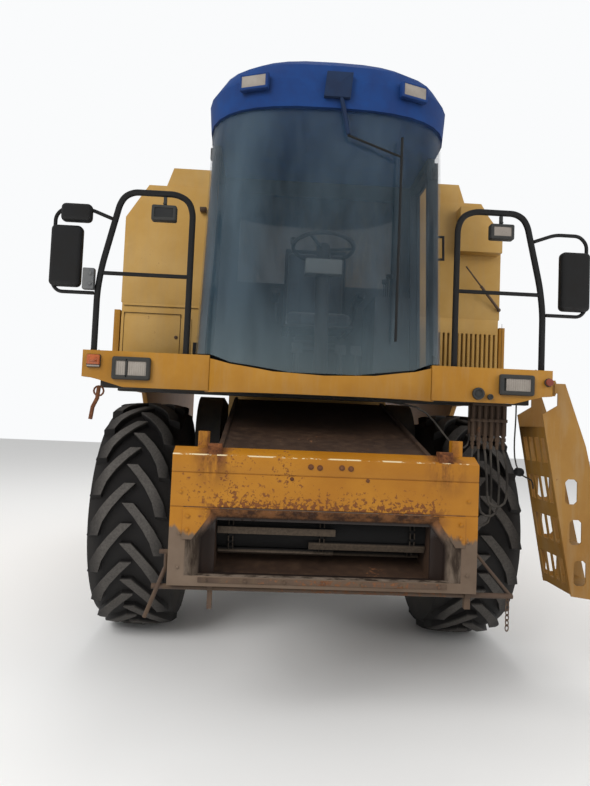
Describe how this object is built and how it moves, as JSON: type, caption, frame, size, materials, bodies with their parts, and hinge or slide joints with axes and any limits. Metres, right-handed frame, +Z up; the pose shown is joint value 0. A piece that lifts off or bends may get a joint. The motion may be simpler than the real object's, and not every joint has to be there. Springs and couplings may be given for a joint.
{
  "type": "combine harvester",
  "caption": "Self-propelled grain combine with front drive wheels, steered rear wheels, cab, feeder house without a header, grain tank with folding covers, unloading tube and straw chopper.",
  "frame": {"origin": "centre of the machine's bounding box, on the ground", "axes": "-Y is the front of the machine (feeder), +X its left side (ladder), +Z up"},
  "size_m": [3.63, 8.1, 3.96],
  "materials": {
    "dark_steel_paint": "satin enamel, dusty",
    "yellow_paint": "gloss enamel, chipped",
    "pale_yellow_paint": "faded enamel, streaked",
    "galvanised_steel": "dull zinc",
    "tyre_rubber": "worn, dusty",
    "black_paint": "satin black",
    "roof_blue": "moulded roof skin",
    "clear_glass": "clear safety glass",
    "lamp_glass": "ribbed lens",
    "seat_fabric": "woven",
    "black_plastic": "moulded",
    "worn_steel": "rusty, worn",
    "hose_rubber": "braided hose, dusty",
    "chrome_rod": "polished"
  },
  "bodies": {
    "root": {"chassis": "dark_steel_paint", "drive_axle": "dark_steel_paint", "threshing_body": "pale_yellow_paint", "cleaning_shoe": "galvanised_steel", "grain_tank": "pale_yellow_paint", "front_bulkhead": "pale_yellow_paint", "engine_hood": "yellow_paint", "engine_block": "worn_steel", "straw_hood": "yellow_paint", "straw_chopper": "dark_steel_paint", "deck": "dark_steel_paint", "front_panels": "yellow_paint", "lamps": "lamp_glass", "handrails": "black_paint", "mirrors": "black_paint", "cab_frame": "black_paint", "cab_roof": "roof_blue", "windscreen": "clear_glass", "cab_windows": "clear_glass", "wiper": "black_plastic", "seat": "seat_fabric", "steering_column": "black_plastic", "hydraulic_pipes": "worn_steel", "drive_guards": "dark_steel_paint", "hose_inner": "hose_rubber", "hose_middle": "hose_rubber", "hose_outer": "hose_rubber", "cab_cable": "hose_rubber", "plug_cable": "hose_rubber"},
    "front_wheel_left": {"front_tyre_left": "tyre_rubber", "front_rim_left": "yellow_paint"},
    "front_wheel_right": {"front_tyre_right": "tyre_rubber", "front_rim_right": "yellow_paint"},
    "rear_axle": {"rear_axle_beam": "dark_steel_paint"},
    "knuckle_left": {"knuckle_left": "dark_steel_paint"},
    "knuckle_right": {"knuckle_right": "dark_steel_paint"},
    "rear_wheel_left": {"rear_tyre_left": "tyre_rubber", "rear_rim_left": "yellow_paint"},
    "rear_wheel_right": {"rear_tyre_right": "tyre_rubber", "rear_rim_right": "yellow_paint"},
    "feeder": {"feeder_housing": "pale_yellow_paint", "feeder_face": "yellow_paint", "feeder_chain": "worn_steel", "header_latch": "dark_steel_paint"},
    "lift_barrel_left": {"lift_barrel_left": "yellow_paint"},
    "lift_barrel_right": {"lift_barrel_right": "yellow_paint"},
    "lift_rod_left": {"lift_rod_left": "chrome_rod"},
    "lift_rod_right": {"lift_rod_right": "chrome_rod"},
    "cab_door": {"cab_door": "black_paint", "door_glass": "clear_glass"},
    "ladder": {"ladder": "yellow_paint"},
    "unloading_auger": {"unloading_auger": "yellow_paint"},
    "tank_cover_left": {"tank_cover_left": "pale_yellow_paint"},
    "tank_cover_right": {"tank_cover_right": "pale_yellow_paint"},
    "side_shield_left": {"side_shield_left": "yellow_paint"},
    "side_shield_right": {"side_shield_right": "yellow_paint"},
    "radiator_screen": {"radiator_screen": "dark_steel_paint"},
    "chopper_deflector": {"chopper_deflector": "yellow_paint"}
  },
  "joints": [
    {"name": "front_wheel_left_spin", "type": "hinge", "parent": "root", "child": "front_wheel_left", "pos_m": [1.154, -2, 0.895], "axis": [1, 0, 0], "continuous": true},
    {"name": "front_wheel_right_spin", "type": "hinge", "parent": "root", "child": "front_wheel_right", "pos_m": [-1.384, -2, 0.895], "axis": [1, 0, 0], "continuous": true},
    {"name": "rear_axle_pendulum", "type": "hinge", "parent": "root", "child": "rear_axle", "pos_m": [-0.115, 1.6, 0.69], "axis": [0, 1, 0], "range_deg": [-6, 6]},
    {"name": "steer_left", "type": "hinge", "parent": "rear_axle", "child": "knuckle_left", "pos_m": [0.845, 1.6, 0.635], "axis": [0, 0, 1], "range_deg": [-35, 35]},
    {"name": "steer_right", "type": "hinge", "parent": "rear_axle", "child": "knuckle_right", "pos_m": [-1.075, 1.6, 0.635], "axis": [0, 0, 1], "range_deg": [-35, 35]},
    {"name": "rear_wheel_left_spin", "type": "hinge", "parent": "knuckle_left", "child": "rear_wheel_left", "pos_m": [1.135, 1.6, 0.635], "axis": [1, 0, 0], "continuous": true},
    {"name": "rear_wheel_right_spin", "type": "hinge", "parent": "knuckle_right", "child": "rear_wheel_right", "pos_m": [-1.365, 1.6, 0.635], "axis": [1, 0, 0], "continuous": true},
    {"name": "feeder_lift", "type": "hinge", "parent": "root", "child": "feeder", "pos_m": [-0.115, -2.3, 1.55], "axis": [-1, 0, 0], "range_deg": [-20, 8]},
    {"name": "lift_barrel_left_swing", "type": "hinge", "parent": "root", "child": "lift_barrel_left", "pos_m": [0.585, -2.26, 0.7], "axis": [-1, 0, 0], "range_deg": [-19, 8]},
    {"name": "lift_barrel_right_swing", "type": "hinge", "parent": "root", "child": "lift_barrel_right", "pos_m": [-0.815, -2.26, 0.7], "axis": [-1, 0, 0], "range_deg": [-19, 8]},
    {"name": "lift_rod_left_stroke", "type": "slide", "parent": "lift_barrel_left", "child": "lift_rod_left", "axis": [0, -0.9876, 0.1569], "range_m": [-0.3, 0.12]},
    {"name": "lift_rod_right_stroke", "type": "slide", "parent": "lift_barrel_right", "child": "lift_rod_right", "axis": [0, -0.9876, 0.1569], "range_m": [-0.3, 0.12]},
    {"name": "cab_door_hinge", "type": "hinge", "parent": "root", "child": "cab_door", "pos_m": [0.72, -2.476, 1.96], "axis": [-0.0297, 0, 0.9996], "range_deg": [0, 75]},
    {"name": "ladder_swing", "type": "hinge", "parent": "root", "child": "ladder", "pos_m": [1.375, -3.396, 1.95], "axis": [0, 0, -1], "range_deg": [0, 90]},
    {"name": "unloading_auger_swing", "type": "hinge", "parent": "root", "child": "unloading_auger", "pos_m": [1.27, -1.95, 3.24], "axis": [0, 0, -1], "range_deg": [0, 100]},
    {"name": "tank_cover_left_lid", "type": "hinge", "parent": "root", "child": "tank_cover_left", "pos_m": [1.093, -1.2, 3.512], "axis": [0, 1, 0], "range_deg": [0, 100]},
    {"name": "tank_cover_right_lid", "type": "hinge", "parent": "root", "child": "tank_cover_right", "pos_m": [-1.323, -1.2, 3.512], "axis": [0, -1, 0], "range_deg": [0, 100]},
    {"name": "side_shield_left_lift", "type": "hinge", "parent": "root", "child": "side_shield_left", "pos_m": [1.4125, 0, 2.53], "axis": [0, -1, 0], "range_deg": [0, 80]},
    {"name": "side_shield_right_lift", "type": "hinge", "parent": "root", "child": "side_shield_right", "pos_m": [-1.6425, 0, 2.53], "axis": [0, 1, 0], "range_deg": [0, 80]},
    {"name": "radiator_screen_spin", "type": "hinge", "parent": "root", "child": "radiator_screen", "pos_m": [-1.615, 0.7, 3], "axis": [1, 0, 0], "continuous": true},
    {"name": "chopper_deflector_tilt", "type": "hinge", "parent": "root", "child": "chopper_deflector", "pos_m": [-0.115, 3.775, 1.4], "axis": [1, 0, 0], "range_deg": [-25, 20]}
  ],
  "couplings": [
    {"joint": "steer_right", "follows": "steer_left", "ratio": 1},
    {"joint": "lift_barrel_left_swing", "follows": "feeder_lift", "ratio": 0.93},
    {"joint": "lift_barrel_right_swing", "follows": "feeder_lift", "ratio": 0.93},
    {"joint": "lift_rod_left_stroke", "follows": "feeder_lift", "m_per_rad": 0.842},
    {"joint": "lift_rod_right_stroke", "follows": "feeder_lift", "m_per_rad": 0.842}
  ]
}
